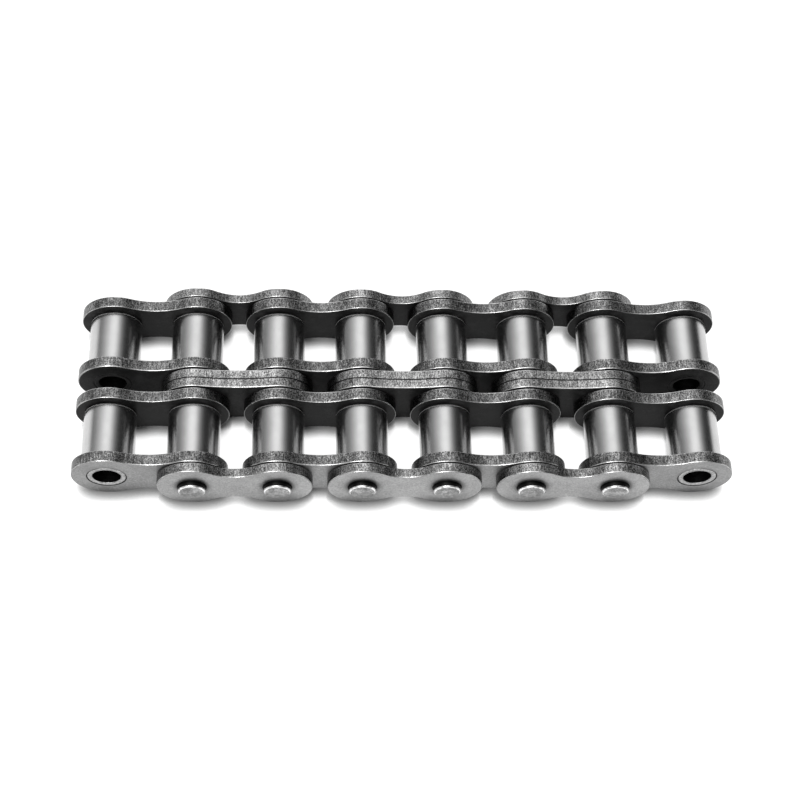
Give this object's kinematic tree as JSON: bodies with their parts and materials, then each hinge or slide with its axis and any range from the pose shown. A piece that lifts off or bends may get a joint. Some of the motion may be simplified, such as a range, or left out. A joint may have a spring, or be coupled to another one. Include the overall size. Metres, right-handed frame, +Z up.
{
  "type": "conveyor chain",
  "caption": "Short length of duplex steel roller chain: flat link plates hinged on long pins, turning rollers on bushes, and open bushes at both ends for a connecting link.",
  "frame": {"origin": "bottom centre of the chain lying flat: midway between its two ends and its two strands, on the surface it lies on", "axes": "+X along the chain, +Y along the pins from the front strand to the back strand, +Z up, square to the chain"},
  "size_m": [0.1988, 0.067, 0.0211],
  "materials": {
    "plate_steel": "matte stamped steel plate, darker on the cut edges",
    "roller_steel": "smooth ground steel, lightly oiled",
    "bush_steel": "smooth ground steel",
    "pin_steel": "ground steel with a bright chamfer at the ends"
  },
  "bodies": {
    "outer_link_1": {"outer_plate_1_front": "plate_steel", "outer_plate_1_back": "plate_steel", "middle_plates_1": "plate_steel", "pins_1": "pin_steel"},
    "outer_link_2": {"outer_plate_2_front": "plate_steel", "outer_plate_2_back": "plate_steel", "middle_plates_2": "plate_steel", "pins_2": "pin_steel"},
    "outer_link_3": {"outer_plate_3_front": "plate_steel", "outer_plate_3_back": "plate_steel", "middle_plates_3": "plate_steel", "pins_3": "pin_steel"},
    "inner_link_2": {"inner_plate_2_front_outside": "plate_steel", "inner_plate_2_front_inside": "plate_steel", "bush_3_front": "bush_steel", "bush_4_front": "bush_steel", "inner_plate_2_back_outside": "plate_steel", "inner_plate_2_back_inside": "plate_steel", "bush_3_back": "bush_steel", "bush_4_back": "bush_steel"},
    "inner_link_3": {"inner_plate_3_front_outside": "plate_steel", "inner_plate_3_front_inside": "plate_steel", "bush_5_front": "bush_steel", "bush_6_front": "bush_steel", "inner_plate_3_back_outside": "plate_steel", "inner_plate_3_back_inside": "plate_steel", "bush_5_back": "bush_steel", "bush_6_back": "bush_steel"},
    "inner_link_1_front": {"inner_plate_1_front_outside": "plate_steel", "inner_plate_1_front_inside": "plate_steel", "bush_1_front": "bush_steel", "bush_2_front": "bush_steel"},
    "inner_link_1_back": {"inner_plate_1_back_outside": "plate_steel", "inner_plate_1_back_inside": "plate_steel", "bush_1_back": "bush_steel", "bush_2_back": "bush_steel"},
    "inner_link_4_front": {"inner_plate_4_front_outside": "plate_steel", "inner_plate_4_front_inside": "plate_steel", "bush_7_front": "bush_steel", "bush_8_front": "bush_steel"},
    "inner_link_4_back": {"inner_plate_4_back_outside": "plate_steel", "inner_plate_4_back_inside": "plate_steel", "bush_7_back": "bush_steel", "bush_8_back": "bush_steel"},
    "roller_1_front": {"roller_1_front": "roller_steel"},
    "roller_1_back": {"roller_1_back": "roller_steel"},
    "roller_2_front": {"roller_2_front": "roller_steel"},
    "roller_2_back": {"roller_2_back": "roller_steel"},
    "roller_3_front": {"roller_3_front": "roller_steel"},
    "roller_3_back": {"roller_3_back": "roller_steel"},
    "roller_4_front": {"roller_4_front": "roller_steel"},
    "roller_4_back": {"roller_4_back": "roller_steel"},
    "roller_5_front": {"roller_5_front": "roller_steel"},
    "roller_5_back": {"roller_5_back": "roller_steel"},
    "roller_6_front": {"roller_6_front": "roller_steel"},
    "roller_6_back": {"roller_6_back": "roller_steel"},
    "roller_7_front": {"roller_7_front": "roller_steel"},
    "roller_7_back": {"roller_7_back": "roller_steel"},
    "roller_8_front": {"roller_8_front": "roller_steel"},
    "roller_8_back": {"roller_8_back": "roller_steel"}
  },
  "joints": [
    {"name": "link_hinge_4", "type": "hinge", "parent": "outer_link_2", "child": "inner_link_2", "pos_m": [-0.0127, 0, 0.01054], "axis": [0, 1, 0], "range_deg": [-70, 70]},
    {"name": "link_hinge_3", "type": "hinge", "parent": "inner_link_2", "child": "outer_link_1", "pos_m": [-0.0381, 0, 0.01054], "axis": [0, 1, 0], "range_deg": [-70, 70]},
    {"name": "link_hinge_2_front", "type": "hinge", "parent": "outer_link_1", "child": "inner_link_1_front", "pos_m": [-0.0635, -0.01594, 0.01054], "axis": [0, 1, 0], "range_deg": [-70, 70]},
    {"name": "link_hinge_2_back", "type": "hinge", "parent": "outer_link_1", "child": "inner_link_1_back", "pos_m": [-0.0635, 0.01594, 0.01054], "axis": [0, 1, 0], "range_deg": [-70, 70]},
    {"name": "link_hinge_5", "type": "hinge", "parent": "outer_link_2", "child": "inner_link_3", "pos_m": [0.0127, 0, 0.01054], "axis": [0, 1, 0], "range_deg": [-70, 70]},
    {"name": "link_hinge_6", "type": "hinge", "parent": "inner_link_3", "child": "outer_link_3", "pos_m": [0.0381, 0, 0.01054], "axis": [0, 1, 0], "range_deg": [-70, 70]},
    {"name": "link_hinge_7_front", "type": "hinge", "parent": "outer_link_3", "child": "inner_link_4_front", "pos_m": [0.0635, -0.01594, 0.01054], "axis": [0, 1, 0], "range_deg": [-70, 70]},
    {"name": "link_hinge_7_back", "type": "hinge", "parent": "outer_link_3", "child": "inner_link_4_back", "pos_m": [0.0635, 0.01594, 0.01054], "axis": [0, 1, 0], "range_deg": [-70, 70]},
    {"name": "roller_1_front_spin", "type": "hinge", "parent": "inner_link_1_front", "child": "roller_1_front", "pos_m": [-0.0889, -0.01594, 0.01054], "axis": [0, 1, 0], "continuous": true},
    {"name": "roller_1_back_spin", "type": "hinge", "parent": "inner_link_1_back", "child": "roller_1_back", "pos_m": [-0.0889, 0.01594, 0.01054], "axis": [0, 1, 0], "continuous": true},
    {"name": "roller_2_front_spin", "type": "hinge", "parent": "inner_link_1_front", "child": "roller_2_front", "pos_m": [-0.0635, -0.01594, 0.01054], "axis": [0, 1, 0], "continuous": true},
    {"name": "roller_2_back_spin", "type": "hinge", "parent": "inner_link_1_back", "child": "roller_2_back", "pos_m": [-0.0635, 0.01594, 0.01054], "axis": [0, 1, 0], "continuous": true},
    {"name": "roller_3_front_spin", "type": "hinge", "parent": "inner_link_2", "child": "roller_3_front", "pos_m": [-0.0381, -0.01594, 0.01054], "axis": [0, 1, 0], "continuous": true},
    {"name": "roller_3_back_spin", "type": "hinge", "parent": "inner_link_2", "child": "roller_3_back", "pos_m": [-0.0381, 0.01594, 0.01054], "axis": [0, 1, 0], "continuous": true},
    {"name": "roller_4_front_spin", "type": "hinge", "parent": "inner_link_2", "child": "roller_4_front", "pos_m": [-0.0127, -0.01594, 0.01054], "axis": [0, 1, 0], "continuous": true},
    {"name": "roller_4_back_spin", "type": "hinge", "parent": "inner_link_2", "child": "roller_4_back", "pos_m": [-0.0127, 0.01594, 0.01054], "axis": [0, 1, 0], "continuous": true},
    {"name": "roller_5_front_spin", "type": "hinge", "parent": "inner_link_3", "child": "roller_5_front", "pos_m": [0.0127, -0.01594, 0.01054], "axis": [0, 1, 0], "continuous": true},
    {"name": "roller_5_back_spin", "type": "hinge", "parent": "inner_link_3", "child": "roller_5_back", "pos_m": [0.0127, 0.01594, 0.01054], "axis": [0, 1, 0], "continuous": true},
    {"name": "roller_6_front_spin", "type": "hinge", "parent": "inner_link_3", "child": "roller_6_front", "pos_m": [0.0381, -0.01594, 0.01054], "axis": [0, 1, 0], "continuous": true},
    {"name": "roller_6_back_spin", "type": "hinge", "parent": "inner_link_3", "child": "roller_6_back", "pos_m": [0.0381, 0.01594, 0.01054], "axis": [0, 1, 0], "continuous": true},
    {"name": "roller_7_front_spin", "type": "hinge", "parent": "inner_link_4_front", "child": "roller_7_front", "pos_m": [0.0635, -0.01594, 0.01054], "axis": [0, 1, 0], "continuous": true},
    {"name": "roller_7_back_spin", "type": "hinge", "parent": "inner_link_4_back", "child": "roller_7_back", "pos_m": [0.0635, 0.01594, 0.01054], "axis": [0, 1, 0], "continuous": true},
    {"name": "roller_8_front_spin", "type": "hinge", "parent": "inner_link_4_front", "child": "roller_8_front", "pos_m": [0.0889, -0.01594, 0.01054], "axis": [0, 1, 0], "continuous": true},
    {"name": "roller_8_back_spin", "type": "hinge", "parent": "inner_link_4_back", "child": "roller_8_back", "pos_m": [0.0889, 0.01594, 0.01054], "axis": [0, 1, 0], "continuous": true}
  ]
}
